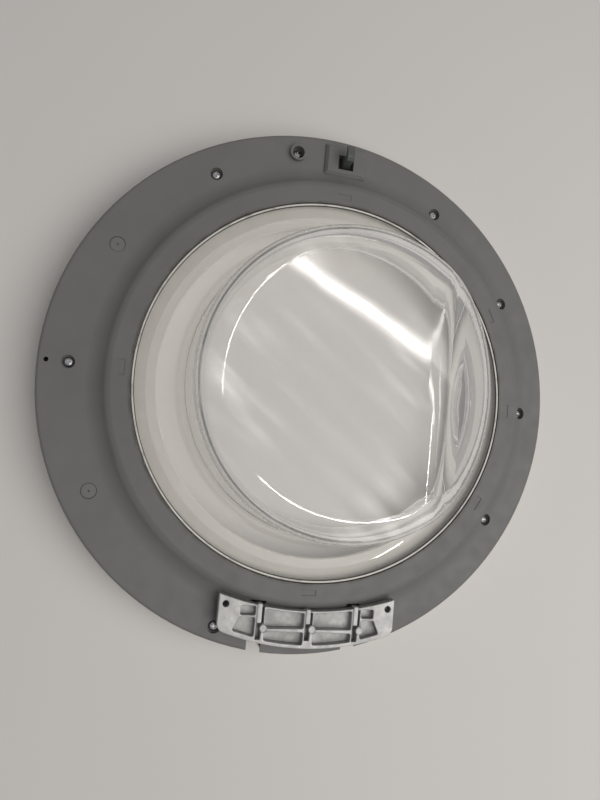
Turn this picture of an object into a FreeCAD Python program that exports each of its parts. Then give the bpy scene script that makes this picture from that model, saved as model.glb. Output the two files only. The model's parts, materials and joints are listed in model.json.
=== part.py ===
import FreeCAD, Part
import math
import os

# A front-loading washer's door, lying on its front face with the bowl up.
# Millimetres. The rim is centred on the origin and z = 0 is the front face.
# +X is the door's upper side when hung, +Y its latch side, -Y its hinge side.

# Overall
rim_radius = 235.0
flange_top = 41.0
flange_thickness = 3.0
rim_round = 2.8
bowl_offset = 12.0          # bowl, hook and hinge share a line off the rim's centre

# Rear ring: shoulder round the glass. A size that ends in _in is counted in from the rim.
land_top = 50.0
lip_in = 64.0
lip_thickness = 3.0
wall_in = 42.5              # where the shoulder is steepest
foot_round = 20.0
crest_round = 8.0
shoulder_overlap = 3.0
rib_thickness = 3.0
rib_gap = 0.3
glass_side_gap = 1.5
mark_angles = (0, 30, 90, 180, 270, 330)
mark_length = 13.0
mark_width = 5.0
mark_depth = 0.5
mark_out = 7.5              # the marks' middle, out from the lip
drain_hole_radius = 2.0
drain_in = 7.5

# Front ring
front_in = 2.0              # how far the rear ring's rim stands over the front ring
front_wall = 2.5
front_plate = 3.0
front_round = 14.0
front_flare = 9.0           # how much wider the front opening is than the seat's
seat_inner = 22.0           # the seat's shelf, from inside the lip to outside it
seat_outer = 13.0
seat_thickness = 3.0

# Glass bowl
glass_tuck = 5.0            # how far the glass reaches under the lip
glass_flange = 5.0
glass_lip_gap = 0.8
glass_step_round = 1.2
glass_crown_drop = 1.2
glass_foot_round = 30.0     # the flare from the flange up into the bowl
bowl_inset = 43.5           # from the lip to the bowl's foot
bowl_taper = 3.5
bowl_top = 150.0
bowl_wall = 6.0
bowl_round = 22.0
facet_width = 72.0          # from the bowl's side in to where the top face bends down
facet_round = 69.0          # that bend
facet_inner_round = 22.0    # the same bend on the inner face
facet_angle = 27.0          # the facet's fall, below the top face

# Seat strip
strip_thickness = 2.0
strip_inset = 1.0           # in from the lip
strip_width = 20.0

# Screws and cups
bolt_in = 25.0
ring_screw_angles = (0, 30, 60, 120, 180, 330)
plug_angles = (150, 210)
hinge_screw_in = 22.6
hinge_screw_x = 66.8
latch_screw_in = 20.1
latch_screw_aside = 45.65   # from the hook's middle
cup_wall = 1.8
cup_bore = 5.6
cup_depth = 3.6
latch_cup_depth = 8.0
cup_floor = 3.0
collar_height = 4.0
boss_radius = 4.6
screw_head_radius = 4.4
screw_head_height = 2.8
screw_head_side = 0.9
screw_shank_radius = 2.0
screw_length = 20.0
screw_tip = 3.0
thread_gap = 0.05
shank_gap = 0.3
recess_span = 4.6
recess_width = 1.1
recess_depth = 1.4
plug_bore = 6.6
plug_depth = 3.0
plug_gap = 0.2
plug_sunk = 0.7
plug_floor = 0.8
plug_pinhole = 0.8

# Hinge
leaf_bottom = 46.2
leaf_thickness = 9.3
leaf_half = 78.5
leaf_mid_in = 42.0          # the inner edge at its middle and at its ends
leaf_end_in = 54.5
leaf_outer_in = 10.0
leaf_corner = 8.0
leaf_floor = 2.6
leaf_wall = 3.2
leaf_inner_wall = 1.9
leaf_hole_radius = 2.75
leaf_hole_end = 6.0         # from the leaf's end to the hole's middle
leaf_hole_in = 46.0
leaf_clear = 1.2
leaf_well_gap = 1.4
pivot_in = 18.5
pivot_z = 14.0
arm_offset = 43.0
arm_width = 7.0
arm_thickness = 8.0
arm_in = 44.0
knuckle_radius = 6.4
slot_width = 13.0
slot_gap = 4.0              # between the arm and the slot's inner end
notch_depth = 3.0           # the slot's floor in the front ring, below the pivot
rim_step = 1.0
pin_radius = 3.0
pin_half = 50.0
bush_wall = 1.0
bush_flange = 1.6
bush_lip = 0.6
running_gap = 0.05
side_gap = 0.3
ear_thickness = 2.5
ear_margin = 2.4
carrier_plate = 2.0
carrier_boss = 5.0
carrier_ahead = 17.5        # the plate's front edge, its back edge and its screws, from the pivot
carrier_behind = 5.5
carrier_screw_ahead = 11.5
carrier_screw_places = (-28, -10, 10, 28)
carrier_screw_length = 6.0
clip_width = 1.2
clip_radius = 4.6
clip_opening = 3.6

# Leaf casting: channels, pockets and bosses, counted in from the leaf's outer edge
channel_half = 2.1
channel_slot = 1.9
channel_web = 1.4
channel_proud = 0.6
channel_split_in = 21.0
channel_join = 0.8          # how far the slot beside a bar runs on into the slot below it
channel_end_in = 7.0
channel_deep = 8.0
rib_in = 13.8
rib_width = 3.2
post_radius = 3.2
post_offset = 4.2
post_in = 16.5
pocket_round = 1.5
square_outer = 59.5
square_low_in = 27.2
square_width = 7.8
trap_low_in = 9.0
trap_mid_in = 14.0
trap_high_in = 25.4
trap_short = 60.0
trap_long = 65.5

# Hook and its housing
pad_half = 19.5
pad_out = 16.0              # the pad's edges, from the hook's pin
pad_back = 12.0
pad_height = 4.0
pad_slope = 2.5
hook_slot_half = 7.2
hook_slot_reach = 6.5
hook_half = 3.4
hook_pin_in = 22.0
hook_pin_z = 30.0
hook_pin_radius = 2.0
hook_root = 5.2
hook_stem = 7.0
hook_top = 61.0
hook_nose = 11.3            # the nose's reach, from the hook's pin
hook_nose_low = 54.5
hook_nose_tip = 3.0
hook_nose_rise = 2.5
hook_bevel = 3.0
housing_half = 14.0
housing_back = 10.0         # the block's ends, from the hook's pin
housing_out = 11.5
housing_tab = 3.0
housing_tab_reach = 7.0
spring_wire = 0.5
spring_slant = 40.0         # the wall leg's lean from upright
peg_radius = 0.6
peg_rise = 1.5

# Finger grip in the front ring's latch side
grip_half = 55.0
grip_depth = 18.0
grip_low = 6.0
grip_high = 21.5
grip_wall = 2.5

# Radii and places that follow from the sizes above
lip_radius = rim_radius - lip_in
wall_radius = rim_radius - wall_in
mark_radius = lip_radius + mark_out
drain_radius = rim_radius - drain_in
front_radius = rim_radius - front_in
seat_inner_radius = lip_radius - seat_inner
seat_outer_radius = lip_radius + seat_outer
front_opening_radius = seat_inner_radius + front_flare
glass_radius = lip_radius + glass_tuck
glass_step_radius = lip_radius - glass_lip_gap
bowl_base_radius = lip_radius - bowl_inset
bowl_top_radius = bowl_base_radius - bowl_taper
facet_start = bowl_top_radius - facet_width
bowl_mouth_round = glass_foot_round + bowl_wall
strip_outer_radius = lip_radius - strip_inset
strip_inner_radius = strip_outer_radius - strip_width
bolt_radius = rim_radius - bolt_in
cup_radius = cup_bore + cup_wall
leaf_inner_mid = rim_radius - leaf_mid_in
leaf_inner_end = rim_radius - leaf_end_in
leaf_outer = rim_radius - leaf_outer_in
leaf_hole_y = rim_radius - leaf_hole_in
pivot_y = pivot_in - rim_radius
arm_outer_y = arm_in - rim_radius
slot_inner_y = arm_outer_y + slot_gap
carrier_front_y = pivot_y + carrier_ahead
carrier_back_y = pivot_y - carrier_behind
carrier_screw_y = pivot_y + carrier_screw_ahead
channel_split = channel_split_in - leaf_outer
channel_end = channel_end_in - leaf_outer
rib_bottom = rib_in - leaf_outer
rib_top = rib_bottom + rib_width
post_y = post_in - leaf_outer
square_bottom = square_low_in - leaf_outer
square_top = square_bottom + square_width
trap_low = trap_low_in - leaf_outer
trap_mid = trap_mid_in - leaf_outer
trap_top = trap_high_in - leaf_outer
hook_pin_y = rim_radius - hook_pin_in
hook_nose_y = hook_pin_y + hook_nose
hook_slot_low = hook_pin_y - hook_slot_reach
hook_slot_high = hook_pin_y + hook_slot_reach
pad_inner_y = hook_pin_y - pad_back
pad_outer_y = hook_pin_y + pad_out
housing_low_y = hook_pin_y - housing_back
housing_high_y = hook_pin_y + housing_out

# Heights that follow from the sizes above
flange_low = flange_top - flange_thickness
glass_top = land_top - lip_thickness
glass_low = glass_top - glass_flange
seat_top = glass_low - strip_thickness
rib_inner = glass_radius + glass_side_gap
cup_seat = flange_top - cup_depth
cup_low = cup_seat - cup_floor
latch_seat = flange_top + collar_height - latch_cup_depth
latch_low = latch_seat - cup_floor
leaf_top = leaf_bottom + leaf_thickness
pad_top = flange_top + pad_height
housing_low = grip_high + grip_wall
carrier_low = front_plate + carrier_boss
arm_inner = arm_offset - arm_width / 2
arm_outer = arm_offset + arm_width / 2
ear_outer = arm_inner - bush_lip - side_gap
bush_radius = pin_radius + running_gap + bush_wall
far = 2 * rim_radius
past = 1.0                  # how far a cut runs past the face it opens
same = 0.01                 # lengths closer than this are taken as one
bulge = 1 - math.sqrt(0.5)  # a quarter round's middle lies this share of its radius in from the corner


def vec(x, y, z):
    return FreeCAD.Vector(x, y, z)


def box(x0, x1, y0, y1, z0, z1):
    return Part.makeBox(x1 - x0, y1 - y0, z1 - z0, vec(x0, y0, z0))


def rod(radius, x, y, z0, z1):
    return Part.makeCylinder(radius, z1 - z0, vec(x, y, z0))


def rod_x(radius, x0, x1, y, z):
    return Part.makeCylinder(radius, x1 - x0, vec(x0, y, z), vec(1, 0, 0))


def polar(radius, angle):
    turn = math.radians(angle)
    return radius * math.cos(turn), radius * math.sin(turn)


def wire(start, steps, place):
    """A closed outline: a step is a point, or a pair of points for an arc through the first."""
    edges = []
    here = start
    for step in steps + [start]:
        if isinstance(step[0], tuple):
            middle, there = step
            edges.append(Part.Arc(place(*here), place(*middle), place(*there)).toShape())
        else:
            there = step
            edges.append(Part.LineSegment(place(*here), place(*there)).toShape())
        here = there
    return Part.Wire(edges)


def turned(start, steps, x=0.0):
    """A solid turned about the vertical line at x, from an outline in radius and height."""
    outline = wire(start, steps, lambda r, z: vec(x + r, 0, z))
    return Part.Face(outline).revolve(vec(x, 0, 0), vec(0, 0, 1), 360)


def side_plate(start, steps, x0, x1):
    """A plate cut to an outline in y and z, from x0 to x1."""
    outline = wire(start, steps, lambda y, z: vec(x0, y, z))
    return Part.Face(outline).extrude(vec(x1 - x0, 0, 0))


def flat_plate(start, steps, z0, z1):
    """A plate cut to an outline in x and y, from z0 to z1, x counted from the shared line."""
    outline = wire(start, steps, lambda x, y: vec(bowl_offset + x, y, z0))
    return Part.Face(outline).extrude(vec(0, 0, z1 - z0))


def upright_edges(shape):
    return [e for e in shape.Edges if 1 - abs(e.tangentAt(e.FirstParameter).z) < same]


def fused(shapes):
    return shapes[0].fuse(shapes[1:]).removeSplitter()


def pan_screw(x, y, seat, length):
    """A cross-head screw whose head sits at the given height."""
    top = seat + screw_head_height
    rise = screw_head_height - screw_head_side
    dome = (screw_head_radius ** 2 + rise ** 2) / (2 * rise)
    crown = (screw_head_radius / 2, top - dome + math.sqrt(dome ** 2 - (screw_head_radius / 2) ** 2))
    body = turned(
        (0, top),
        [(crown, (screw_head_radius, seat + screw_head_side)), (screw_head_radius, seat),
         (screw_shank_radius, seat), (screw_shank_radius, seat - length + screw_tip), (0, seat - length)])
    half, wide = recess_span / 2, recess_width / 2
    cross = [box(-half, half, -wide, wide, top - recess_depth, top),
             box(-wide, wide, -half, half, top - recess_depth, top)]
    screw = body.cut(fused(cross))
    screw.translate(vec(x, y, 0))
    return screw


def ring_screw_points():
    return [polar(bolt_radius, angle) for angle in ring_screw_angles]


def plug_points():
    return [polar(bolt_radius, angle) for angle in plug_angles]


def hinge_screw_points():
    return [(side * hinge_screw_x, hinge_screw_in - rim_radius) for side in (-1, 1)]


def latch_screw_point():
    return bowl_offset - latch_screw_aside, rim_radius - latch_screw_in


def shoulder():
    """The raised land round the glass, its rounded crest and the hollow at its foot."""
    turn = math.acos(1 - (land_top - flange_top) / (foot_round + crest_round))
    foot = wall_radius + foot_round * math.sin(turn)
    crest = wall_radius - crest_round * math.sin(turn)
    bend_z = flange_top + foot_round * (1 - math.cos(turn))
    half = turn / 2
    foot_mid = (foot - foot_round * math.sin(half), flange_top + foot_round * (1 - math.cos(half)))
    crest_mid = (crest + crest_round * math.sin(half), land_top - crest_round * (1 - math.cos(half)))
    rib_outer = rib_inner + rib_thickness
    edge = foot + shoulder_overlap
    return turned(
        (lip_radius, glass_top),
        [(rib_inner, glass_top), (rib_inner, seat_top + rib_gap), (rib_outer, seat_top + rib_gap),
         (rib_outer, glass_top - flange_thickness / 2), (crest, glass_top - flange_thickness / 2),
         (wall_radius - flange_thickness, flange_low), (edge, flange_low), (edge, flange_top),
         (foot, flange_top), (foot_mid, (wall_radius, bend_z)), (crest_mid, (crest, land_top)),
         (lip_radius, land_top)],
        bowl_offset), foot


def flange(hole_radius):
    """The flat outer ring with its rounded rim."""
    inner = rim_radius - rim_round
    slant = rim_round * bulge
    disc = turned(
        (0, flange_low),
        [(rim_radius, flange_low), (rim_radius, flange_top - rim_round),
         ((rim_radius - slant, flange_top - slant), (inner, flange_top)), (0, flange_top)])
    return disc.cut(rod(hole_radius, bowl_offset, 0, 0, far))


def leaf_outline(z0, z1, grow=0.0):
    """The hinge leaf's outline, or that outline grown for the well that it lies in."""
    half = leaf_half + grow
    outer = leaf_outer + grow
    outer_end = math.sqrt(outer ** 2 - half ** 2)
    plate = flat_plate(
        (-half, -leaf_inner_end + grow),
        [((0, -leaf_inner_mid + grow), (half, -leaf_inner_end + grow)), (half, -outer_end),
         ((0, -outer), (-half, -outer_end))],
        z0, z1)
    outer_corners = [e for e in upright_edges(plate) if e.BoundBox.YMax < -leaf_inner_mid]
    return plate.makeFillet(leaf_corner, outer_corners)


def arm_slots(z0, z1):
    """The two openings in the ring that the leaf's arms swing through."""
    half = slot_width / 2
    places = [bowl_offset + side * arm_offset for side in (-1, 1)]
    return [box(x - half, x + half, -far, slot_inner_y, z0, z1) for x in places]


def rim_well():
    """The lowered stretch of rim between the two slots, under the leaf."""
    reach = arm_offset
    low = bowl_offset - reach
    return box(low, low + 2 * reach, -far, -leaf_inner_mid, flange_top - rim_step, far)


def land_marks():
    """Shallow moulding marks on the land, six round the glass."""
    marks = []
    for angle in mark_angles:
        mark = box(mark_radius - mark_width / 2, mark_radius + mark_width / 2,
                   -mark_length / 2, mark_length / 2, land_top - mark_depth, far)
        mark.rotate(vec(0, 0, 0), vec(0, 0, 1), angle)
        mark.translate(vec(bowl_offset, 0, 0))
        marks.append(mark)
    return marks


def hook_pad():
    """The raised pad round the hook, with sloped sides."""
    pad = box(bowl_offset - pad_half, bowl_offset + pad_half, pad_inner_y, pad_outer_y, flange_low, pad_top)
    return pad.makeChamfer(pad_slope, [e for e in pad.Edges if e.BoundBox.ZMin > pad_top - same])


def rear_ring():
    collar, foot = shoulder()
    cups = ring_screw_points() + hinge_screw_points()
    bodies = [flange(foot), collar]
    cuts = []
    for x, y in cups:
        bodies.append(rod(cup_radius, x, y, cup_low, flange_top))
        cuts.append(rod(cup_bore, x, y, cup_seat, far))
        cuts.append(rod(screw_shank_radius + shank_gap, x, y, 0, far))
    for x, y in plug_points():
        bodies.append(rod(plug_bore + cup_wall, x, y, flange_top - plug_depth - cup_floor, flange_top))
        cuts.append(rod(plug_bore, x, y, flange_top - plug_depth, far))
    x, y = latch_screw_point()
    bodies.append(rod(cup_radius, x, y, latch_low, flange_top + collar_height))
    cuts.append(rod(cup_bore, x, y, latch_seat, far))
    cuts.append(rod(screw_shank_radius + shank_gap, x, y, 0, far))
    bodies.append(hook_pad())
    cuts.append(box(bowl_offset - hook_slot_half, bowl_offset + hook_slot_half,
                    hook_slot_low, hook_slot_high, 0, far))
    cuts.append(rod(drain_hole_radius, -drain_radius, 0, 0, far))
    cuts += arm_slots(0, far)
    cuts.append(rim_well())
    cuts.append(leaf_outline(leaf_bottom - leaf_clear, far, leaf_well_gap))
    cuts += land_marks()
    return fused(bodies).cut(cuts)


def front_shell():
    """The outer moulding: front plate, rounded edge and outer wall."""
    def shell(radius, low, corner):
        slant = corner * bulge
        return turned(
            (0, low),
            [(radius - corner, low), ((radius - slant, low + slant), (radius, low + corner)),
             (radius, flange_low), (0, flange_low)])
    inside = shell(front_radius - front_wall, front_plate, front_round - front_wall)
    return shell(front_radius, 0, front_round).cut(inside)


def glass_seat():
    """The funnel from the front opening up to the shelf that carries the glass."""
    return turned(
        (front_opening_radius, 0),
        [(front_opening_radius + front_plate, 0), (seat_inner_radius + front_plate, seat_top - seat_thickness),
         (seat_outer_radius, seat_top - seat_thickness), (seat_outer_radius, seat_top),
         (seat_inner_radius, seat_top)],
        bowl_offset)


def funnel_hole():
    return turned(
        (0, -past),
        [(front_opening_radius, -past), (front_opening_radius, 0), (seat_inner_radius, seat_top), (0, seat_top)],
        bowl_offset)


def grip_block(grow):
    """The finger grip's hollow, or that hollow grown to its outer skin."""
    back = front_radius - grip_depth - grow
    return box(bowl_offset - grip_half - grow, bowl_offset + grip_half + grow, back, far,
               grip_low - grow, grip_high + grow)


def carrier_screw_points():
    return [(bowl_offset + place, carrier_screw_y) for place in carrier_screw_places]


def front_ring():
    shell = front_shell()
    outer = rod(front_radius - front_wall / 2, 0, 0, front_plate / 2, flange_low)
    bodies = [shell, glass_seat(), grip_block(grip_wall).common(outer)]
    cuts = [funnel_hole(), grip_block(0)]
    x, y = latch_screw_point()
    bosses = [(px, py, cup_low) for px, py in ring_screw_points() + hinge_screw_points()]
    bosses.append((x, y, latch_low - housing_tab))
    for px, py, top in bosses:
        bodies.append(rod(boss_radius, px, py, front_plate / 2, top))
        cuts.append(rod(screw_shank_radius + thread_gap, px, py, cup_seat - screw_length - screw_tip, top))
    for px, py in carrier_screw_points():
        bodies.append(rod(boss_radius, px, py, front_plate / 2, carrier_low))
        cuts.append(rod(screw_shank_radius + thread_gap, px, py, front_plate / 2, carrier_low))
    cuts += arm_slots(pivot_z - notch_depth, far)
    return fused(bodies).cut(cuts)


def facet_cut(depth, bend):
    """The space above the top face, the bend and the facet, or above their inner faces at a depth in the glass."""
    turn = math.radians(facet_angle)
    start = bowl_offset + facet_start + (facet_round - depth - bend) * math.tan(turn / 2)
    centre = bowl_top - depth - bend

    def on_bend(angle):
        return start + bend * math.sin(angle), centre + bend * math.cos(angle)

    end_x, end_z = on_bend(turn)
    outline = wire(
        (start - far, centre + bend),
        [(start, centre + bend), (on_bend(turn / 2), (end_x, end_z)),
         (end_x + far, end_z - far * math.tan(turn)), (end_x + far, far), (start - far, far)],
        lambda x, z: vec(x, -far, z))
    return Part.Face(outline).extrude(vec(0, 2 * far, 0))


def rounded_top(solid, radius, height):
    """Round the rim where the top face, the bend and the facet meet the bowl's side."""
    edges = [e for e in solid.Edges if e.BoundBox.ZMin > height and e.BoundBox.XLength > same]
    return solid.makeFillet(radius, edges)


def bowl_block(radius_low, radius_top, low, top, depth, bend, corner):
    taper = (radius_low - radius_top) / (top - low)
    block = turned(
        (0, low),
        [(radius_low, low), (radius_top - taper * past, top + past), (0, top + past)],
        bowl_offset)
    block = block.cut(facet_cut(depth, bend))
    return rounded_top(block, corner, (low + top) / 2)


def door_glass():
    draft = (bowl_base_radius - bowl_top_radius) / (bowl_top - glass_top)
    crown = glass_top + lip_thickness - glass_crown_drop
    foot_z = crown - glass_crown_drop
    lean = glass_foot_round * bulge
    round_edge = glass_step_round * bulge
    step_z = land_top - glass_crown_drop / 2
    base = turned(
        (0, glass_low),
        [(glass_radius, glass_low), (glass_radius, glass_top), (glass_step_radius, glass_top),
         (glass_step_radius, step_z - glass_step_round),
         ((glass_step_radius - round_edge, step_z - round_edge), (glass_step_radius - glass_step_round, step_z)),
         (bowl_base_radius + glass_foot_round, foot_z),
         ((bowl_base_radius + lean, foot_z + lean), (bowl_base_radius, foot_z + glass_foot_round)),
         (0, foot_z + glass_foot_round)],
        bowl_offset)
    low_radius = bowl_base_radius + draft * glass_foot_round
    outer = bowl_block(low_radius, bowl_top_radius, foot_z, bowl_top, 0, facet_round, bowl_round)
    inner_low = low_radius + draft * (foot_z - glass_low) - bowl_wall
    inner = bowl_block(inner_low, bowl_top_radius - bowl_wall, glass_low, bowl_top - bowl_wall,
                       bowl_wall, facet_inner_round, bowl_round - bowl_wall)
    slant = bowl_mouth_round * bulge
    mouth = turned(
        (0, glass_low - past),
        [(inner_low + bowl_mouth_round, glass_low - past), (inner_low + bowl_mouth_round, glass_low),
         ((inner_low + slant, glass_low + slant), (inner_low, glass_low + bowl_mouth_round)),
         (0, glass_low + bowl_mouth_round)],
        bowl_offset)
    return fused([base, outer]).cut([inner, mouth])


def glass_seat_strip():
    ring = rod(strip_outer_radius, bowl_offset, 0, seat_top, glass_low)
    return ring.cut(rod(strip_inner_radius, bowl_offset, 0, seat_top, glass_low))


def plug(x, y):
    floor = flange_top - plug_depth
    body = rod(plug_bore - plug_gap, x, y, floor, flange_top - plug_sunk)
    return body.cut(rod(plug_pinhole, x, y, floor + plug_floor, far))


def channel_places():
    return [-arm_offset, 0.0, arm_offset]


def leaf_pocket(start, steps):
    """One pocket of the casting, with rounded upright corners."""
    pocket = flat_plate(start, steps, leaf_bottom + leaf_floor, leaf_top + past)
    return pocket.makeFillet(pocket_round, upright_edges(pocket))


def middle_pockets():
    """Two rows of pockets between the three channels, their outer walls following the leaf's edges."""
    sag = leaf_inner_mid - leaf_inner_end
    bend = (leaf_half ** 2 + sag ** 2) / (2 * sag)
    centre = bend - leaf_inner_mid
    inner_wall = rod(bend + leaf_inner_wall, bowl_offset, centre, 0, far)
    outer_wall = rod(leaf_outer - leaf_wall, bowl_offset, 0, 0, far)
    pockets = []
    places = channel_places()
    for left, right in zip(places, places[1:]):
        low = left + channel_half + channel_slot + channel_web
        high = right - channel_half - channel_web
        floor = leaf_bottom + leaf_floor
        upper = box(bowl_offset + low, bowl_offset + high, rib_top, -leaf_inner_end, floor, leaf_top + past)
        lower = box(bowl_offset + low, bowl_offset + high, -leaf_outer, rib_bottom, floor, leaf_top + past)
        for pocket in (upper.cut(inner_wall), lower.common(outer_wall)):
            pockets.append(pocket.makeFillet(pocket_round, upright_edges(pocket)))
    return pockets


def end_pockets():
    """A small square pocket and a tapered one at each end of the leaf."""
    pockets = []
    for side in (-1, 1):
        web = channel_half + channel_web + (channel_slot if side > 0 else 0)
        near = side * (arm_offset + web)
        pockets.append(leaf_pocket(
            (near, square_top),
            [(side * square_outer, square_top), (side * square_outer, square_bottom), (near, square_bottom)]))
        pockets.append(leaf_pocket(
            (near, trap_top),
            [(side * trap_short, trap_top), (side * trap_long, trap_mid), (near, trap_low)]))
    return pockets


def leaf_channels():
    """The upright bars, the slots beside and below them, and the round posts by the middle rib."""
    bars, slots, posts = [], [], []
    for place in channel_places():
        x = bowl_offset + place
        edge = -leaf_inner_mid + (leaf_inner_mid - leaf_inner_end) * (place / leaf_half) ** 2
        bars.append(box(x - channel_half, x + channel_half, channel_split, edge + channel_web,
                        leaf_bottom + leaf_floor, leaf_top + channel_proud))
        slots.append(box(x + channel_half, x + channel_half + channel_slot, channel_split - channel_join,
                         edge - channel_web, leaf_bottom + leaf_floor, far))
        slots.append(box(x - channel_half, x + channel_half, channel_end, channel_split,
                         leaf_top - channel_deep, far))
        posts.append(rod(post_radius, x + post_offset, post_y, leaf_bottom, leaf_top + channel_proud))
    return bars, slots, posts


def leaf_arm(x0):
    """One arm: from the leaf down through the ring and back out to the knuckle on the pin."""
    low = pivot_z - arm_thickness / 2
    high = pivot_z + arm_thickness / 2
    inner_y = arm_outer_y - arm_thickness
    bend = side_plate(
        (pivot_y, low),
        [(arm_outer_y, low), (arm_outer_y, leaf_bottom + leaf_floor), (inner_y, leaf_bottom + leaf_floor),
         (inner_y, high), (pivot_y, high)],
        x0, x0 + arm_width)
    elbow = [e for e in bend.Edges if e.BoundBox.XLength > arm_width - same and e.BoundBox.ZMax < leaf_bottom
             and e.BoundBox.YMin > pivot_y + same]
    bend = bend.makeFillet(arm_thickness / 2, elbow)
    return fused([bend, rod_x(knuckle_radius, x0, x0 + arm_width, pivot_y, pivot_z)])


def hinge_leaf():
    bars, slots, posts = leaf_channels()
    plate = leaf_outline(leaf_bottom, leaf_top).cut(middle_pockets() + end_pockets() + slots)
    arms = [leaf_arm(bowl_offset + side * arm_offset - arm_width / 2) for side in (-1, 1)]
    body = fused([plate] + bars + posts + arms)
    holes = [rod(leaf_hole_radius, bowl_offset + side * (leaf_half - leaf_hole_end), -leaf_hole_y, 0, far)
             for side in (-1, 1)]
    bore = rod_x(bush_radius, bowl_offset - far, bowl_offset + far, pivot_y, pivot_z)
    return body.cut(holes + [bore])


def hinge_bush(side):
    """A sleeve in the arm's knuckle, its lip between the knuckle and the carrier's ear."""
    x0 = bowl_offset + side * arm_inner
    x1 = bowl_offset + side * arm_outer
    lip = bowl_offset + side * (arm_inner - bush_lip)
    sleeve = rod_x(bush_radius, min(x0, x1), max(x0, x1), pivot_y, pivot_z)
    collar = rod_x(bush_radius + bush_flange, min(x0, lip), max(x0, lip), pivot_y, pivot_z)
    bore = rod_x(pin_radius + running_gap, bowl_offset - far, bowl_offset + far, pivot_y, pivot_z)
    return fused([sleeve, collar]).cut(bore)


def hinge_pin():
    return rod_x(pin_radius, bowl_offset - pin_half, bowl_offset + pin_half, pivot_y, pivot_z)


def pin_clip(side):
    """A spring clip that keeps the arm on the pin, open towards the front face."""
    near = arm_outer + side_gap
    x0 = bowl_offset + side * near
    x1 = bowl_offset + side * (near + clip_width)
    disc = rod_x(clip_radius, min(x0, x1), max(x0, x1), pivot_y, pivot_z)
    bore = rod_x(pin_radius, min(x0, x1), max(x0, x1), pivot_y, pivot_z)
    gap = box(min(x0, x1), max(x0, x1), pivot_y - clip_opening / 2, pivot_y + clip_opening / 2,
              pivot_z - 2 * clip_radius, pivot_z)
    return disc.cut([bore, gap])


def hinge_carrier():
    """A pressed plate screwed to the front ring, with two ears that hold the pin."""
    half = ear_outer
    plate = box(bowl_offset - half, bowl_offset + half, carrier_back_y, carrier_front_y,
                carrier_low, carrier_low + carrier_plate)
    bodies = [plate]
    for side in (-1, 1):
        edge = bowl_offset + side * half
        back = bowl_offset + side * (half - ear_thickness)
        x0, x1 = min(edge, back), max(edge, back)
        bodies.append(box(x0, x1, pivot_y - pin_radius - ear_margin, pivot_y + pin_radius + ear_margin,
                          carrier_low, pivot_z))
        bodies.append(rod_x(pin_radius + ear_margin, x0, x1, pivot_y, pivot_z))
    cuts = [rod(screw_shank_radius + shank_gap, x, y, 0, far) for x, y in carrier_screw_points()]
    cuts.append(rod_x(pin_radius, bowl_offset - far, bowl_offset + far, pivot_y, pivot_z))
    return fused(bodies).cut(cuts)


def spring_room():
    """How far the hook's peg reaches from the shared line, past the spring's wire."""
    return hook_half + 2 * (side_gap + spring_wire)


def hook_housing():
    """The block under the pad that holds the hook's pin, with a tab under the latch screw."""
    block = box(bowl_offset - housing_half, bowl_offset + housing_half, housing_low_y, housing_high_y,
                housing_low, flange_low)
    sx, sy = latch_screw_point()
    tab = box(sx - housing_tab_reach, bowl_offset, sy - housing_tab_reach, sy + housing_tab_reach,
              latch_low - housing_tab, latch_low)
    cuts = [box(bowl_offset - hook_half - side_gap, bowl_offset + spring_room() + side_gap,
                hook_slot_low - side_gap, hook_slot_high + side_gap, housing_low, far),
            rod_x(hook_pin_radius, bowl_offset - far, bowl_offset + far, hook_pin_y, hook_pin_z),
            rod(screw_shank_radius + shank_gap, sx, sy, 0, far)]
    return fused([block, tab]).cut(cuts)


def spring_bend():
    """The radius of the spring's middle line where it goes round the pin."""
    return hook_pin_radius + running_gap + spring_wire


def latch_hook():
    """A hook on a round root with a peg: an upright stem, a nose towards the rim and a slanted top."""
    back = hook_pin_y - hook_stem / 2
    front = hook_pin_y + hook_stem / 2
    stem = side_plate(
        (back, hook_pin_z),
        [(front, hook_pin_z), (front, hook_nose_low), (hook_nose_y, hook_nose_low + hook_nose_rise / 2),
         (hook_nose_y, hook_nose_low + hook_nose_tip), (front, hook_top),
         (back + hook_bevel, hook_top), (back, hook_top - hook_bevel)],
        bowl_offset - hook_half, bowl_offset + hook_half)
    root = rod_x(hook_root, bowl_offset - hook_half, bowl_offset + hook_half, hook_pin_y, hook_pin_z)
    bore = rod_x(hook_pin_radius + running_gap, bowl_offset - far, bowl_offset + far, hook_pin_y, hook_pin_z)
    peg_y = hook_pin_y + spring_bend() + spring_wire + side_gap + peg_radius
    peg = rod_x(peg_radius, bowl_offset, bowl_offset + spring_room(), peg_y, hook_pin_z + peg_rise)
    return fused([stem, root, peg]).cut(bore)


def hook_pin():
    return rod_x(hook_pin_radius, bowl_offset - housing_half, bowl_offset + housing_half, hook_pin_y, hook_pin_z)


def hook_spring():
    """The hook's return spring: a wire bent round the pin, from the housing's wall to the hook's peg."""
    x = bowl_offset + hook_half + side_gap + spring_wire

    def round_pin(angle):
        y, z = polar(spring_bend(), angle)
        return vec(x, hook_pin_y + y, hook_pin_z + z)

    low = round_pin(180 + spring_slant)
    up_y, up_z = polar(1, 90 + spring_slant)
    leg = (low.y - hook_slot_low + side_gap - spring_wire - running_gap) / abs(up_y)
    foot = vec(x, low.y + leg * up_y, low.z + leg * up_z)
    rise = round_pin(0)
    tip = vec(x, rise.y, hook_pin_z + 2 * peg_rise)
    path = Part.Wire([
        Part.LineSegment(foot, low).toShape(),
        Part.Arc(low, round_pin(270), rise).toShape(),
        Part.LineSegment(rise, tip).toShape()])
    section = Part.Wire(Part.makeCircle(spring_wire, foot, low - foot))
    return path.makePipeShell([section], True, False)


def group(shapes):
    return Part.makeCompound(shapes)


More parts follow.
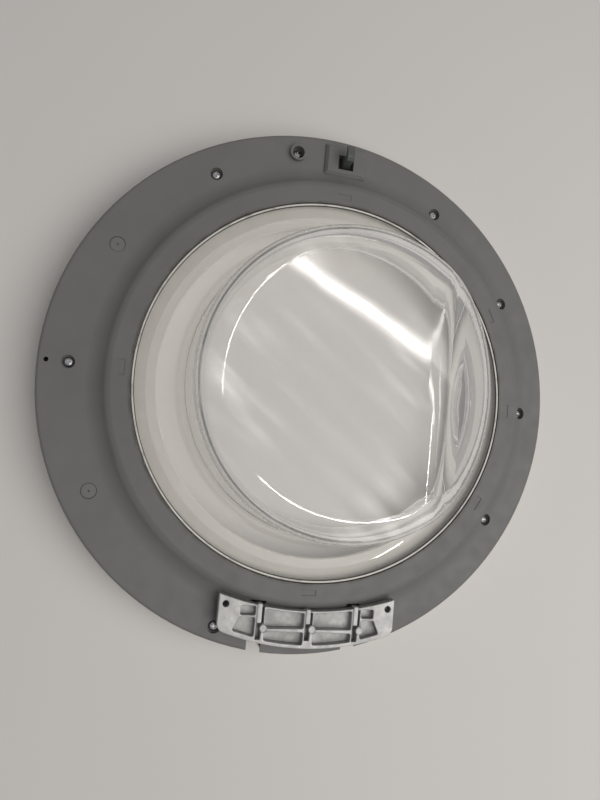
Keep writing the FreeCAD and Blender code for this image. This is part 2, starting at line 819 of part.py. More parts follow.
def sub_parts():
    seat_of_carrier = carrier_low + carrier_plate
    latch_x, latch_y = latch_screw_point()
    (upper_x, upper_y), (lower_x, lower_y) = plug_points()
    return {
        "rear_ring": rear_ring(),
        "front_ring": front_ring(),
        "door_glass": door_glass(),
        "glass_seat_strip": glass_seat_strip(),
        "ring_screws": group([pan_screw(x, y, cup_seat, screw_length) for x, y in ring_screw_points()]),
        "hinge_side_screws": group([pan_screw(x, y, cup_seat, screw_length) for x, y in hinge_screw_points()]),
        "latch_screw": pan_screw(latch_x, latch_y, latch_seat, screw_length),
        "upper_plug": plug(upper_x, upper_y),
        "lower_plug": plug(lower_x, lower_y),
        "hinge_leaf": hinge_leaf(),
        "hinge_bushes": group([hinge_bush(-1), hinge_bush(1)]),
        "hinge_pin": hinge_pin(),
        "pin_clips": group([pin_clip(-1), pin_clip(1)]),
        "hinge_carrier": hinge_carrier(),
        "carrier_screws": group([pan_screw(x, y, seat_of_carrier, carrier_screw_length)
                                 for x, y in carrier_screw_points()]),
        "hook_housing": hook_housing(),
        "latch_hook": latch_hook(),
        "hook_pin": hook_pin(),
        "hook_spring": hook_spring(),
    }


def main():
    os.makedirs("parts", exist_ok=True)
    for name, shape in sub_parts().items():
        shape.exportStep("parts/" + name + ".step")


main()
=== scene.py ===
import json
import math

import bmesh
import bpy
from bpy.props import FloatProperty, FloatVectorProperty, PointerProperty
from bpy.types import Operator, Panel, PropertyGroup
from mathutils import Matrix, Vector


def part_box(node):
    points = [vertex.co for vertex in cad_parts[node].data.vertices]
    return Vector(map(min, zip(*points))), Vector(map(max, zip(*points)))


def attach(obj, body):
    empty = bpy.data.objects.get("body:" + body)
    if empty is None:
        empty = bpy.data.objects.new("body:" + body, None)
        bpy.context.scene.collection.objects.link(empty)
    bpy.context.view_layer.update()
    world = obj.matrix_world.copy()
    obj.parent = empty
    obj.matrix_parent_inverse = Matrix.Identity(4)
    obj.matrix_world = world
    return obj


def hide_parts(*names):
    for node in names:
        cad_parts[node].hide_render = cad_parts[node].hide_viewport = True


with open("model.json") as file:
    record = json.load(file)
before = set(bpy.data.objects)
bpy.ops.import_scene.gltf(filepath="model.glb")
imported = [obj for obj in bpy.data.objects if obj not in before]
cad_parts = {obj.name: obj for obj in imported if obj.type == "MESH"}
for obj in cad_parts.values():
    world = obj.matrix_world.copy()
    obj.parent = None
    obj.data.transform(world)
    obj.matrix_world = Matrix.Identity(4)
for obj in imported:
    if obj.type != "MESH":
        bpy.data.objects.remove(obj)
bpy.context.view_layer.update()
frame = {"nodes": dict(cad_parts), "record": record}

bl_info = {
    "name": "Washer door",
    "version": (1, 0, 0),
    "blender": (4, 5, 0),
    "location": "View3D > Sidebar > Door",
    "description": "Dresses a front-loading washer's door: mouldings, glass bowl, cast hinge leaf and latch",
    "category": "Object",
}

MILLI = 0.001

# Corners closer than this are one, and edges that turn more than this are rounded
MERGE_DISTANCE = 0.001 * MILLI
SHARP_TURN = math.radians(35)
ROUND_SEGMENTS = 2

BEAD_SIDES = 10
BEAD_STEPS = 240

# The bowl's axis, which stands off the rim's centre
BOWL_X = sum(corner[0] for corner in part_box("door_glass")) / 2

# Pairs of values: those that a noise pattern mostly keeps to, and from none to all and back
MIDDLE = (0.3, 0.7)
WHOLE = (0.0, 1.0)
FALLING = (1.0, 0.0)

# Where a finish changes, as a start and an end, by distance from the bowl's axis
SOILED_LIP = (171.0 * MILLI, 173.5 * MILLI)
DUSTY_GLASS_EDGE = (168.6 * MILLI, 169.4 * MILLI)

# The same by height
DULL_GLASS_FOOT = (52 * MILLI, 70 * MILLI)
# Painted shade on the glass: its colour darkens above this height
FACET_SHADE_HEIGHT = (60 * MILLI, 75 * MILLI)
WIPED_GLASS_HEIGHT = (95 * MILLI, 125 * MILLI)
# Painted shade on the leaf: its pocket floors darken below this height
LEAF_POCKET_SHADE = (48.8 * MILLI, 55.3 * MILLI)

# The same along X, towards the facet
WIPED_GLASS_SIDE = (70 * MILLI, 86 * MILLI)
# Painted shade on the glass: its colour darkens past this point towards the facet
FACET_SHADE_SIDE = (84 * MILLI, 100 * MILLI)

# The same along Y, towards the tip of the hook
HOOK_NOSE = (219.5 * MILLI, 224.0 * MILLI)

# Wiped smears on the glass: how many times longer than wide, and their turn in degrees
SMEAR_STRETCH = (7.0, 1.0, 1.0)
SMEAR_TURN = -38
GLASS_IOR = 1.5

# Light that has passed or bounced in the glass more often than this goes straight on,
# and what goes straight on keeps this share
MOST_PASSES = 5
MOST_BOUNCES = 1
STRAIGHT_SHARE = 0.93

FLOOR_HALF = 12.0
LAMP_TONE = (1.0, 0.97, 0.93)

# How the window stands, and the light for the smears with it
WINDOW = {"at": (1.0, -0.35, 1.9), "aim": (0.05, -0.02, 0), "size": (2.0, 2.0), "long_way": (0, 1, 0)}

# Lamps that only show as reflections in the glass: name, start, end, width and share of the strip power
STRIPS = (
    ("tube", (-0.11, 0.87, 2.0), (1.35, 0.13, 2.0), 0.12, 2.0),
    ("left_strip", (0.17, 1.03, 2.0), (-0.36, 0.0, 2.0), 0.04, 3.0),
    ("near_strip", (-0.05, -0.46, 2.0), (1.15, -0.76, 2.0), 0.06, 6.0),
    ("right_strip", (1.25, -0.35, 2.0), (1.25, 0.15, 2.0), 0.05, 1.6),
)
STRIP_FADE = 2.5


def length(name, description, default):
    """A property in metres."""
    return FloatProperty(name=name, description=description, default=default,
                         unit="LENGTH", subtype="DISTANCE")


def power(name, description, default):
    """A property in watts."""
    return FloatProperty(name=name, description=description, default=default, unit="POWER")


def colour(name, description, default):
    """A colour property."""
    return FloatVectorProperty(name=name, description=description, default=default, size=3,
                               min=0.0, max=1.0, subtype="COLOR")


class DoorSizes(PropertyGroup):
    """Sizes that only the looks use"""
    ring_edge: length("Ring edge", "Rounding on the edges of the two large mouldings", 0.4 * MILLI)
    moulded_edge: length("Moulded edge", "Rounding on the edges of small plastic pieces", 0.35 * MILLI)
    cast_edge: length("Cast edge", "Rounding on the edges of the die-cast leaf", 0.6 * MILLI)
    steel_edge: length("Steel edge", "Rounding on the edges of screws, pins and pressed sheet",
                       0.2 * MILLI)
    hook_edge: length("Hook edge", "Rounding on the edges of the latch hook", 0.5 * MILLI)
    bead_radius: length("Bead radius", "Ring that the seal's bead follows", 169.0 * MILLI)
    bead_height: length("Bead height", "Height of the bead's middle", 48.8 * MILLI)
    bead_half: length("Bead half", "Half the thickness of the bead", 1.5 * MILLI)


class DoorColours(PropertyGroup):
    """Colours of the door's finishes"""
    grey: colour("Grey moulding", "Matt plastic of the rear ring", (0.172, 0.169, 0.164))
    cream: colour("White moulding", "Plastic of the front ring", (0.78, 0.745, 0.70))
    glass: colour("Glass", "Tint of the pressed glass", (0.985, 0.982, 0.978))
    # Painted shade: the glass colour darkens to this towards the facet, for the dim view through it
    facet_shade_tone: colour("Deep glass", "Tint of the glass where it is thickest", (0.86, 0.862, 0.855))
    strip: colour("Seat strip", "Pale rubber under the glass", (0.85, 0.82, 0.755))
    bead: colour("Bead", "Pale rubber bead along the lip", (0.86, 0.84, 0.79))
    # Besides dust on the ring, this colour is painted shade along the bead's edges
    soil_and_gap_shade: colour("Soil", "Brown dust that settles along the lip", (0.060, 0.050, 0.040))
    screw: colour("Screw steel", "Dark plated steel", (0.34, 0.34, 0.35))
    plug: colour("Plug", "Plastic of the two blind plugs", (0.182, 0.179, 0.174))
    cast: colour("Die-cast", "Raw aluminium casting", (0.46, 0.455, 0.445))
    steel: colour("Drawn steel", "Hinge pin, clips and spring", (0.56, 0.56, 0.57))
    plated: colour("Plated sheet", "Zinc-plated hinge carrier", (0.60, 0.61, 0.60))
    bush: colour("Bush", "Natural low-friction plastic", (0.82, 0.81, 0.76))
    dark: colour("Housing", "Dark plastic round the hook", (0.060, 0.065, 0.060))
    hook: colour("Hook", "Dark coated metal", (0.095, 0.105, 0.095))
    worn: colour("Worn hook", "Brown metal where the coating of the nose is rubbed off",
                 (0.13, 0.10, 0.075))


class StageSettings(PropertyGroup):
    """Camera, floor and light"""
    eye: FloatVectorProperty(name="Eye", description="Where the camera stands", size=3,
                             subtype="TRANSLATION", unit="LENGTH", default=(-0.1410, -0.0535, 0.6006))
    aim: FloatVectorProperty(name="Aim", description="The point in the middle of the picture", size=3,
                             subtype="TRANSLATION", unit="LENGTH", default=(-0.0003, -0.0073, 0.0))
    upward: FloatVectorProperty(name="Upward", description="The direction that is up in the picture",
                                size=3, subtype="DIRECTION", default=(-0.10794, 0.99284, 0.05106))
    lens: FloatProperty(name="Lens", description="Focal length on a 36 mm sensor", default=28.8,
                        unit="CAMERA", subtype="DISTANCE_CAMERA")
    floor: colour("Floor", "Pale floor that the door lies on", (0.80, 0.775, 0.75))
    sky: colour("Ambient", "Light from all round", (0.97, 0.98, 1.0))
    sky_strength: FloatProperty(name="Ambient strength", default=0.22,
                                description="Strength of that light")
    room_strength: FloatProperty(name="Room strength", default=0.6,
                                 description="Brightness of the pale room that shows in glass and metal")
    window_power: power("Window power", "Broad soft light on the right", 27.0)
    haze_power: power("Haze power", "Light that brings out the wiped smears on the glass", 100.0)
    strip_power: power("Strip power", "Each thin lamp that shows in the glass", 6.0)


def new_material(name):
    """A material with its node tree and its shader."""
    material = bpy.data.materials.new(name)
    material.use_nodes = True
    return material, material.node_tree, material.node_tree.nodes["Principled BSDF"]


def here(tree, scale=None, start=None, turn=0.0):
    """The place on the piece, scaled, turned about the height and moved to a start where asked."""
    place = tree.nodes.new("ShaderNodeTexCoord").outputs["Object"]
    if scale or start or turn:
        mapping = tree.nodes.new("ShaderNodeMapping")
        mapping.vector_type = "TEXTURE" if turn else "POINT"
        mapping.inputs["Location"].default_value = start or (0, 0, 0)
        mapping.inputs["Rotation"].default_value = (0, 0, math.radians(turn))
        mapping.inputs["Scale"].default_value = scale or (1, 1, 1)
        tree.links.new(place, mapping.inputs["Vector"])
        place = mapping.outputs["Vector"]
    return place


def noise(tree, scale, detail, stretch=None, turn=0.0):
    """A noise pattern fixed to the piece, its scale in patches to the metre."""
    texture = tree.nodes.new("ShaderNodeTexNoise")
    texture.inputs["Scale"].default_value = scale
    texture.inputs["Detail"].default_value = detail
    tree.links.new(here(tree, scale=stretch, turn=turn), texture.inputs["Vector"])
    return texture.outputs["Fac"]


def along(tree, axis):
    """The place on the piece along one axis, in metres."""
    split = tree.nodes.new("ShaderNodeSeparateXYZ")
    tree.links.new(here(tree), split.inputs["Vector"])
    return split.outputs[axis]


def from_bowl_axis(tree):
    """The distance from the bowl's axis, in metres."""
    reach = tree.nodes.new("ShaderNodeVectorMath")
    reach.operation = "LENGTH"
    tree.links.new(here(tree, scale=(1, 1, 0), start=(-BOWL_X, 0, 0)), reach.inputs[0])
    return reach.outputs["Value"]


def ranged(tree, pattern, values, over=MIDDLE):
    """A pattern that goes from the first value to the second over a stretch of its own values."""
    spread = tree.nodes.new("ShaderNodeMapRange")
    spread.inputs["From Min"].default_value, spread.inputs["From Max"].default_value = over
    spread.inputs["To Min"].default_value, spread.inputs["To Max"].default_value = values
    tree.links.new(pattern, spread.inputs["Value"])
    return spread.outputs["Result"]


def combined(tree, operation, first, second):
    """Two patterns, or a pattern and a number, put together by an operation."""
    calculation = tree.nodes.new("ShaderNodeMath")
    calculation.operation = operation
    for value, socket in zip((first, second), calculation.inputs):
        if isinstance(value, (int, float)):
            socket.default_value = value
        else:
            tree.links.new(value, socket)
    return calculation.outputs["Value"]


def product(tree, pattern, *others):
    """Patterns multiplied by one another."""
    for other in others:
        pattern = combined(tree, "MULTIPLY", pattern, other)
    return pattern


def distance_from(tree, pattern, middle):
    """How far a pattern's value is from a middle value, on either side."""
    return combined(tree, "ABSOLUTE", combined(tree, "SUBTRACT", pattern, middle), 0)


def mixed(tree, first, second, share):
    """A colour between two, by a share from 0 to 1; each is a colour or a socket."""
    mix = tree.nodes.new("ShaderNodeMix")
    mix.data_type = "RGBA"
    for value, socket in ((first, mix.inputs["A"]), (second, mix.inputs["B"])):
        if isinstance(value, bpy.types.NodeSocket):
            tree.links.new(value, socket)
        else:
            socket.default_value = (*value, 1)
    tree.links.new(share, mix.inputs["Factor"])
    return mix.outputs["Result"]


def varied(tree, tone, pattern, depth):
    """A tone that the pattern darkens and lightens by the depth."""
    dark = [c * (1 - depth) for c in tone]
    light = [min(1, c * (1 + depth)) for c in tone]
    return mixed(tree, dark, light, ranged(tree, pattern, WHOLE))


def bumped(tree, shader, layers, edge=None):
    """Fine relief, as pairs of a pattern and its height, over edges rounded by a radius if given."""
    normal = None
    if edge:
        corner = tree.nodes.new("ShaderNodeBevel")
        corner.inputs["Radius"].default_value = edge
        normal = corner.outputs["Normal"]
    for pattern, height in layers:
        bump = tree.nodes.new("ShaderNodeBump")
        bump.inputs["Distance"].default_value = height
        tree.links.new(pattern, bump.inputs["Height"])
        if normal:
            tree.links.new(normal, bump.inputs["Normal"])
        normal = bump.outputs["Normal"]
    tree.links.new(normal, shader.inputs["Normal"])


def roughened(tree, shader, pattern, roughness):
    """Roughness that follows the pattern from the first value to the second."""
    tree.links.new(ranged(tree, pattern, roughness), shader.inputs["Roughness"])


def moulded_skin(tree, shader, roughness, grain, edge=None):
    """The skin of moulded plastic: uneven gloss, a fine spark-eroded grain and faint flow marks."""
    roughened(tree, shader, noise(tree, scale=70, detail=4), roughness)
    eroded = noise(tree, scale=1500, detail=2)
    flow = noise(tree, scale=45, detail=3)
    bumped(tree, shader, [(eroded, grain), (flow, 2 * grain)], edge)


def moulding(name, tone, roughness, grain):
    """Clean moulded plastic or rubber."""
    material, tree, shader = new_material(name)
    plain = varied(tree, tone, noise(tree, scale=22, detail=5), depth=0.035)
    tree.links.new(plain, shader.inputs["Base Color"])
    moulded_skin(tree, shader, roughness, grain)
    return material


def soiled_moulding(name, tone, soil_and_gap_shade, roughness, grain, edge):
    """The rear ring's matt plastic, with brown dust settled along the lip."""
    material, tree, shader = new_material(name)
    settled = ranged(tree, from_bowl_axis(tree), FALLING, SOILED_LIP)
    patches = ranged(tree, noise(tree, scale=60, detail=5), (0.15, 0.95), (0.38, 0.66))
    plain = varied(tree, tone, noise(tree, scale=22, detail=5), depth=0.05)
    soiled = mixed(tree, plain, soil_and_gap_shade, product(tree, settled, patches))
    tree.links.new(soiled, shader.inputs["Base Color"])
    moulded_skin(tree, shader, roughness, grain, edge)
    return material


def lip_rubber(name, tone, soil_and_gap_shade, middle, half):
    """The bead's pale rubber with dust patches, darkened as painted shade along its edges where it meets the
    glass and the lip.
    """
    material, tree, shader = new_material(name)
    off = distance_from(tree, from_bowl_axis(tree), middle)
    # Painted shade: the bead darkens towards both edges, where it meets the glass and the lip
    edges = ranged(tree, off, WHOLE, (0.40 * half, 0.60 * half))
    patches = ranged(tree, noise(tree, scale=90, detail=4), (0.0, 0.5), (0.50, 0.72))
    share = combined(tree, "MAXIMUM", edges, patches)
    tree.links.new(mixed(tree, tone, soil_and_gap_shade, share), shader.inputs["Base Color"])
    roughened(tree, shader, noise(tree, scale=300, detail=3), (0.45, 0.65))
    bumped(tree, shader, [(noise(tree, scale=260, detail=3), 0.05 * MILLI)])
    return material


def metal(name, tone, roughness, grain, stretch=None):
    """Bare metal, brushed along an axis where stretch says so."""
    material, tree, shader = new_material(name)
    shader.inputs["Metallic"].default_value = 1.0
    clouded = varied(tree, tone, noise(tree, scale=160, detail=5), depth=0.10)
    tree.links.new(clouded, shader.inputs["Base Color"])
    roughened(tree, shader, noise(tree, scale=420, detail=4, stretch=stretch), roughness)
    bumped(tree, shader, [(noise(tree, scale=900, detail=3, stretch=stretch), grain)])
    return material


def raw_casting(name, tone):
    """Die-cast aluminium as it leaves the mould: cloudy, with a pebbled skin, and pocket floors darkened as
    painted shade.
    """
    material, tree, shader = new_material(name)
    shader.inputs["Metallic"].default_value = 0.55
    clouds = ranged(tree, noise(tree, scale=38, detail=6), (0.90, 1.07))
    specks = ranged(tree, noise(tree, scale=260, detail=5), (0.86, 1.07))
    # Painted shade: the pocket floors, lower than the leaf's top, are darkened
    painted_pocket_shade = ranged(tree, along(tree, "Z"), (0.78, 1.0), LEAF_POCKET_SHADE)
    share = product(tree, clouds, specks, painted_pocket_shade)
    tree.links.new(mixed(tree, (0, 0, 0), tone, share), shader.inputs["Base Color"])
    roughened(tree, shader, noise(tree, scale=120, detail=5), (0.40, 0.62))
    pebbles = noise(tree, scale=700, detail=3)
    waves = noise(tree, scale=60, detail=4)
    bumped(tree, shader, [(pebbles, 0.06 * MILLI), (waves, 0.15 * MILLI)])
    return material


def coated_hook(name, tone, worn):
    """Dark coated metal, rubbed brown at the nose."""
    material, tree, shader = new_material(name)
    nose = ranged(tree, along(tree, "Y"), WHOLE, HOOK_NOSE)
    patches = ranged(tree, noise(tree, scale=420, detail=5), (0.1, 1.0), (0.35, 0.6))
    plain = varied(tree, tone, noise(tree, scale=160, detail=5), depth=0.15)
    rubbed = mixed(tree, plain, worn, product(tree, nose, patches))
    tree.links.new(rubbed, shader.inputs["Base Color"])
    roughened(tree, shader, noise(tree, scale=420, detail=4), (0.30, 0.50))
    bumped(tree, shader, [(noise(tree, scale=900, detail=3), 0.015 * MILLI)])
    return material


def wiped_smears(tree):
    """Slanting smears in patches on the bowl's end face, from 0 to 1."""
    slanting = noise(tree, scale=48, detail=4, stretch=SMEAR_STRETCH, turn=SMEAR_TURN)
    streaks = ranged(tree, slanting, WHOLE, (0.47, 0.70))
    patches = ranged(tree, noise(tree, scale=9, detail=2), (0.10, 1.0), (0.38, 0.60))
    top = ranged(tree, along(tree, "Z"), WHOLE, WIPED_GLASS_HEIGHT)
    off_facet = ranged(tree, along(tree, "X"), (1.0, 0.15), WIPED_GLASS_SIDE)
    return product(tree, streaks, patches, top, off_facet)


def let_light_through(tree, surface, tone):
    """Lets shadow rays, scattered light and trapped light go straight through a surface."""
    clear = tree.nodes.new("ShaderNodeBsdfTransparent")
    clear.inputs["Color"].default_value = (*[STRAIGHT_SHARE * c for c in tone], 1)
    path = tree.nodes.new("ShaderNodeLightPath").outputs
    passed = combined(tree, "GREATER_THAN", path["Transmission Depth"], MOST_PASSES)
    bounced = combined(tree, "GREATER_THAN", path["Glossy Depth"], MOST_BOUNCES)
    trapped = combined(tree, "MAXIMUM", passed, bounced)
    for straight in (path["Is Shadow Ray"], path["Is Diffuse Ray"], trapped):
        mix = tree.nodes.new("ShaderNodeMixShader")
        tree.links.new(straight, mix.inputs[0])
        tree.links.new(surface, mix.inputs[1])
        tree.links.new(clear.outputs["BSDF"], mix.inputs[2])
        surface = mix.outputs["Shader"]
    tree.links.new(surface, tree.nodes["Material Output"].inputs["Surface"])


def pressed_glass(name, tone, facet_shade_tone):
    """Clear wavy glass with smears, a dull foot and a dusty edge, coloured darker towards the facet as
    painted shade for the dim view through it.
    """
    material, tree, shader = new_material(name)
    shader.inputs["IOR"].default_value = GLASS_IOR
    # Painted shade: the glass colour darkens high up towards the facet, for the dim view through it
    above = ranged(tree, along(tree, "Z"), WHOLE, FACET_SHADE_HEIGHT)
    towards_facet = ranged(tree, along(tree, "X"), WHOLE, FACET_SHADE_SIDE)
    tone_and_facet_shade = mixed(tree, tone, facet_shade_tone, product(tree, above, towards_facet))
    tree.links.new(tone_and_facet_shade, shader.inputs["Base Color"])
    smears = wiped_smears(tree)
    clarity = ranged(tree, smears, (0.98, 0.85), WHOLE)
    tree.links.new(clarity, shader.inputs["Transmission Weight"])
    smooth = ranged(tree, smears, (0.015, 0.16), WHOLE)
    dusty = ranged(tree, from_bowl_axis(tree), (0.0, 0.6), DUSTY_GLASS_EDGE)
    tree.links.new(combined(tree, "MAXIMUM", smooth, dusty), shader.inputs["Roughness"])
    shine = ranged(tree, along(tree, "Z"), (0.10, 0.5), DULL_GLASS_FOOT)
    tree.links.new(shine, shader.inputs["Specular IOR Level"])
    bumped(tree, shader, [(noise(tree, scale=14, detail=2), 0.12 * MILLI)])
    let_light_through(tree, shader.outputs["BSDF"], tone)
    return material


def body_of(node):
    """The moving body that a solid belongs to."""
    bodies = frame["record"]["behaviour"]["bodies"]
    return next(body for body, members in bodies.items() if node in members)


def placed(name, shape, material, body):
    """Turns a finished bmesh into a smooth-shaded piece on a body."""
    for face in shape.faces:
        face.smooth = True
    mesh = bpy.data.meshes.new(name)
    shape.to_mesh(mesh)
    shape.free()
    mesh.materials.append(material)
    piece = bpy.data.objects.new(name, mesh)
    bpy.context.scene.collection.objects.link(piece)
    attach(piece, body)
    return piece


def rounded_piece(node, edge, material):
    """A copy of a solid with its sharp edges rounded, which stands in the solid's place."""
    shape = bmesh.new()
    shape.from_mesh(frame["nodes"][node].data)
    bmesh.ops.remove_doubles(shape, verts=shape.verts, dist=MERGE_DISTANCE)
    sharp = [e for e in shape.edges if e.is_manifold and e.calc_face_angle() > SHARP_TURN]
    bmesh.ops.bevel(shape, geom=sharp, offset=edge, affect="EDGES", segments=ROUND_SEGMENTS,
                    profile=0.5, material=-1, loop_slide=False)
    piece = placed(node + "_rounded", shape, material, body_of(node))
    flats = piece.modifiers.new("flats", "WEIGHTED_NORMAL")
    flats.keep_sharp = True
    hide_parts(node)


def finish_nodes(material, *nodes):
    """Gives solids that keep their own form a finish."""
    for name in nodes:
        slots = frame["nodes"][name].data.materials
        slots.clear()
        slots.append(material)


class DOOR_OT_mouldings(Operator):
    """Make the rear ring, the front ring and the plugs"""
    bl_idname = "door.mouldings"
    bl_label = "Mouldings"

    def execute(self, context):
        sizes = context.scene.door_sizes
        tones = context.scene.door_colours
        grey = soiled_moulding("matt_grey_plastic", tones.grey, tones.soil_and_gap_shade,
                               roughness=(0.46, 0.64), grain=0.02 * MILLI, edge=sizes.ring_edge)
        finish_nodes(grey, "rear_ring")
        white = moulding("smooth_white_plastic", tones.cream,
                         roughness=(0.30, 0.42), grain=0.008 * MILLI)
        rounded_piece("front_ring", sizes.ring_edge, white)
        plug = moulding("grey_plug_plastic", tones.plug, roughness=(0.42, 0.55), grain=0.015 * MILLI)
        for node in ("upper_plug", "lower_plug"):
            rounded_piece(node, sizes.moulded_edge, plug)
        return {"FINISHED"}


class DOOR_OT_glass(Operator):
    """Finish the glass bowl and the strip that it sits on"""
    bl_idname = "door.glass"
    bl_label = "Glass bowl"

    def execute(self, context):
        tones = context.scene.door_colours
        glass = pressed_glass("clear_pressed_glass", tones.glass, tones.facet_shade_tone)
        finish_nodes(glass, "door_glass")
        rubber = moulding("pale_seat_rubber", tones.strip, roughness=(0.6, 0.75), grain=0.02 * MILLI)
        finish_nodes(rubber, "glass_seat_strip")
        return {"FINISHED"}


class DOOR_OT_seal_bead(Operator):
    """Make the thin bead of seal that shows between the glass and the lip"""
    bl_idname = "door.seal_bead"
    bl_label = "Seal bead"

    def execute(self, context):
        sizes = context.scene.door_sizes
        tones = context.scene.door_colours
        shape = bmesh.new()
        upright = Matrix.Translation((BOWL_X + sizes.bead_radius, 0, sizes.bead_height))
        upright = upright @ Matrix.Rotation(math.radians(90), 4, "X")
        bmesh.ops.create_circle(shape, segments=BEAD_SIDES, radius=sizes.bead_half, matrix=upright)
        bmesh.ops.spin(shape, geom=shape.edges[:], cent=(BOWL_X, 0, 0), axis=(0, 0, 1),
                       angle=math.radians(360), steps=BEAD_STEPS, use_merge=True)
        bmesh.ops.remove_doubles(shape, verts=shape.verts, dist=MERGE_DISTANCE)
        bmesh.ops.recalc_face_normals(shape, faces=shape.faces)
        rubber = lip_rubber("lip_bead_rubber", tones.bead, tones.soil_and_gap_shade,
                            middle=sizes.bead_radius, half=sizes.bead_half)
        placed("seal_bead", shape, rubber, body_of("glass_seat_strip"))
        return {"FINISHED"}


class DOOR_OT_hinge(Operator):
    """Make the cast leaf, its bushes, pin, clips and carrier"""
    bl_idname = "door.hinge"
    bl_label = "Hinge"

    def execute(self, context):
        sizes = context.scene.door_sizes
        tones = context.scene.door_colours
        rounded_piece("hinge_leaf", sizes.cast_edge, raw_casting("raw_cast_aluminium", tones.cast))
        bush = moulding("natural_bush_plastic", tones.bush, roughness=(0.35, 0.5), grain=0.01 * MILLI)
        finish_nodes(bush, "hinge_bushes")
        steel = metal("bright_drawn_steel", tones.steel,
                      roughness=(0.2, 0.38), grain=0.008 * MILLI, stretch=(0.1, 1, 1))
        finish_nodes(steel, "hook_pin", "hook_spring")
        for node in ("hinge_pin", "pin_clips"):
            rounded_piece(node, sizes.steel_edge, steel)
        sheet = metal("zinc_plated_sheet", tones.plated, roughness=(0.25, 0.45), grain=0.01 * MILLI)
        rounded_piece("hinge_carrier", sizes.steel_edge, sheet)
        return {"FINISHED"}


class DOOR_OT_screws(Operator):
    """Make the screws"""
    bl_idname = "door.screws"
    bl_label = "Screws"

    def execute(self, context):
        sizes = context.scene.door_sizes
        tones = context.scene.door_colours
        steel = metal("dark_plated_steel", tones.screw, roughness=(0.22, 0.4), grain=0.01 * MILLI)
        for node in ("ring_screws", "hinge_side_screws", "latch_screw", "carrier_screws"):
            rounded_piece(node, sizes.steel_edge, steel)
        return {"FINISHED"}


class DOOR_OT_latch(Operator):
    """Make the hook and finish its housing"""
    bl_idname = "door.latch"
    bl_label = "Latch"

    def execute(self, context):
        sizes = context.scene.door_sizes
        tones = context.scene.door_colours
        dark = moulding("dark_housing_plastic", tones.dark, roughness=(0.4, 0.55), grain=0.015 * MILLI)
        finish_nodes(dark, "hook_housing")
        coated = coated_hook("dark_coated_metal", tones.hook, tones.worn)
        rounded_piece("latch_hook", sizes.hook_edge, coated)
        return {"FINISHED"}


def facing(at, back, right):
    """The placing of a lamp or camera that looks away from its back."""
    placing = Matrix((right, back.cross(right), back)).transposed().to_4x4()
    placing.translation = at
    return placing


def area_lamp(name, watts, at, aim, size, long_way):
    """A rectangular lamp that faces a point, its length along a direction."""
    light = bpy.data.lights.new(name, "AREA")
    light.shape = "RECTANGLE"
    light.size, light.size_y = size
    light.energy = watts
    light.color = LAMP_TONE
    lamp = bpy.data.objects.new(name, light)
    back = (Vector(at) - Vector(aim)).normalized()
    run = Vector(long_way)
    lamp.matrix_world = facing(at, back, (run - run.dot(back) * back).normalized())
    bpy.context.scene.collection.objects.link(lamp)
    return lamp


def fade_edges(light):
    """Lets a lamp fade out towards its long edges, so that its reflection has soft sides."""
    light.use_nodes = True
    tree = light.node_tree
    split = tree.nodes.new("ShaderNodeSeparateXYZ")
    place = tree.nodes.new("ShaderNodeNewGeometry").outputs["Parametric"]
    tree.links.new(place, split.inputs["Vector"])
    half = 0.5
    off = distance_from(tree, split.outputs["Y"], half)
    profile = combined(tree, "POWER", ranged(tree, off, FALLING, (0.0, half)), STRIP_FADE)
    tree.links.new(profile, tree.nodes["Emission"].inputs["Strength"])


def pale_room(name, tone, light, shown):
    """Even light from all round, which shows as a pale room to the eye and in glass and metal."""
    world = bpy.data.worlds.new(name)
    world.use_nodes = True
    tree = world.node_tree
    sky = tree.nodes["Background"]
    sky.inputs["Color"].default_value = (*tone, 1)
    path = tree.nodes.new("ShaderNodeLightPath").outputs
    seen = combined(tree, "MAXIMUM", path["Is Camera Ray"], path["Is Glossy Ray"])
    seen = combined(tree, "MAXIMUM", seen, path["Is Transmission Ray"])
    tree.links.new(ranged(tree, seen, (light, shown), WHOLE), sky.inputs["Strength"])
    return world


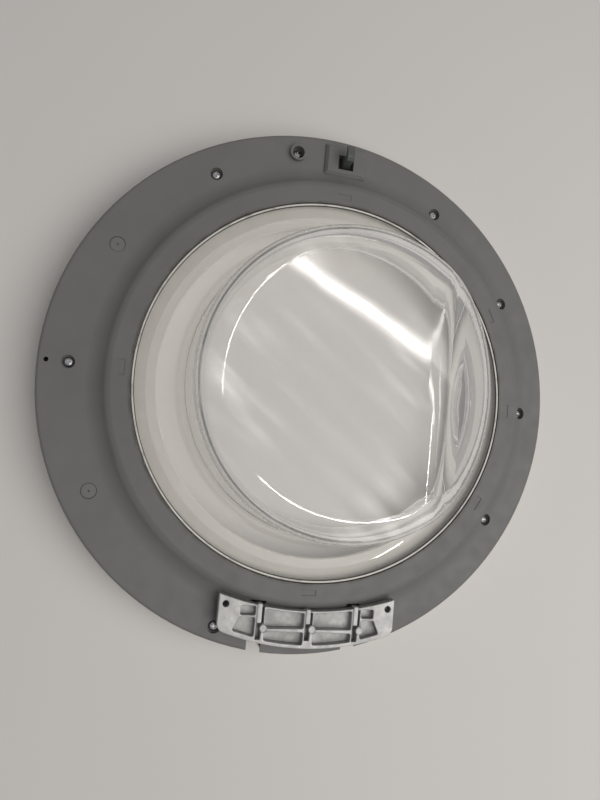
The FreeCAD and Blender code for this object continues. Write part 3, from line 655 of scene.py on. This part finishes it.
class DOOR_OT_stage(Operator):
    """Make the floor, the light and the camera"""
    bl_idname = "door.stage"
    bl_label = "Stage"

    def execute(self, context):
        scene = context.scene
        stage = scene.door_stage
        self.make_floor(scene, stage)
        self.make_light(scene, stage)
        self.make_camera(scene, stage)
        scene.view_settings.view_transform = "Standard"
        return {"FINISHED"}

    def make_floor(self, scene, stage):
        shape = bmesh.new()
        bmesh.ops.create_grid(shape, x_segments=1, y_segments=1, size=FLOOR_HALF)
        mesh = bpy.data.meshes.new("floor")
        shape.to_mesh(mesh)
        shape.free()
        material, tree, shader = new_material("pale_floor")
        tone = varied(tree, stage.floor, noise(tree, scale=3, detail=2), depth=0.01)
        tree.links.new(tone, shader.inputs["Base Color"])
        shader.inputs["Roughness"].default_value = 0.7
        mesh.materials.append(material)
        floor = bpy.data.objects.new("floor", mesh)
        scene.collection.objects.link(floor)

    def make_light(self, scene, stage):
        scene.world = pale_room("room", stage.sky, stage.sky_strength, stage.room_strength)
        glass = frame["nodes"]["door_glass"]
        glass_only = bpy.data.collections.new("glass_only")
        glass_only.objects.link(glass)
        all_but_glass = bpy.data.collections.new("all_but_glass")
        all_but_glass.objects.link(glass)
        all_but_glass.collection_objects[0].light_linking.link_state = "EXCLUDE"
        window = area_lamp("window", stage.window_power, **WINDOW)
        window.light_linking.receiver_collection = all_but_glass
        haze = area_lamp("haze_light", stage.haze_power, **WINDOW)
        haze.visible_glossy = haze.visible_transmission = False
        haze.light_linking.receiver_collection = glass_only
        for name, start, end, width, share in STRIPS:
            middle = (Vector(start) + Vector(end)) / 2
            run = Vector(end) - Vector(start)
            strip = area_lamp(name, stage.strip_power * share, at=middle, aim=(0, 0, 0),
                              size=(run.length, width), long_way=run)
            strip.light_linking.receiver_collection = glass_only
            fade_edges(strip.data)

    def make_camera(self, scene, stage):
        lens = bpy.data.cameras.new("camera")
        lens.lens = stage.lens
        camera = bpy.data.objects.new("camera", lens)
        back = (Vector(stage.eye) - Vector(stage.aim)).normalized()
        right = Vector(stage.upward).cross(back).normalized()
        camera.matrix_world = facing(stage.eye, back, right)
        scene.collection.objects.link(camera)
        scene.camera = camera


class DOOR_PT_panel(Panel):
    """The door's operators and settings"""
    bl_idname = "DOOR_PT_panel"
    bl_label = "Washer door"
    bl_space_type = "VIEW_3D"
    bl_region_type = "UI"
    bl_category = "Door"

    def draw(self, context):
        scene = context.scene
        for operator in OPERATORS:
            self.layout.operator(operator.bl_idname)
        for group in (scene.door_sizes, scene.door_colours, scene.door_stage):
            box = self.layout.box()
            for name in group.__annotations__:
                box.prop(group, name)


GROUPS = {"door_sizes": DoorSizes, "door_colours": DoorColours, "door_stage": StageSettings}
OPERATORS = (DOOR_OT_mouldings, DOOR_OT_glass, DOOR_OT_seal_bead, DOOR_OT_hinge, DOOR_OT_screws,
             DOOR_OT_latch, DOOR_OT_stage)


def register():
    for made in (*GROUPS.values(), *OPERATORS, DOOR_PT_panel):
        bpy.utils.register_class(made)
    for name, group in GROUPS.items():
        setattr(bpy.types.Scene, name, PointerProperty(type=group))


def unregister():
    for name in GROUPS:
        delattr(bpy.types.Scene, name)
    for made in (DOOR_PT_panel, *reversed(OPERATORS), *GROUPS.values()):
        bpy.utils.unregister_class(made)


def main():
    register()
    bpy.ops.door.mouldings()
    bpy.ops.door.glass()
    bpy.ops.door.seal_bead()
    bpy.ops.door.hinge()
    bpy.ops.door.screws()
    bpy.ops.door.latch()
    bpy.ops.door.stage()


if __name__ == "__main__":
    main()
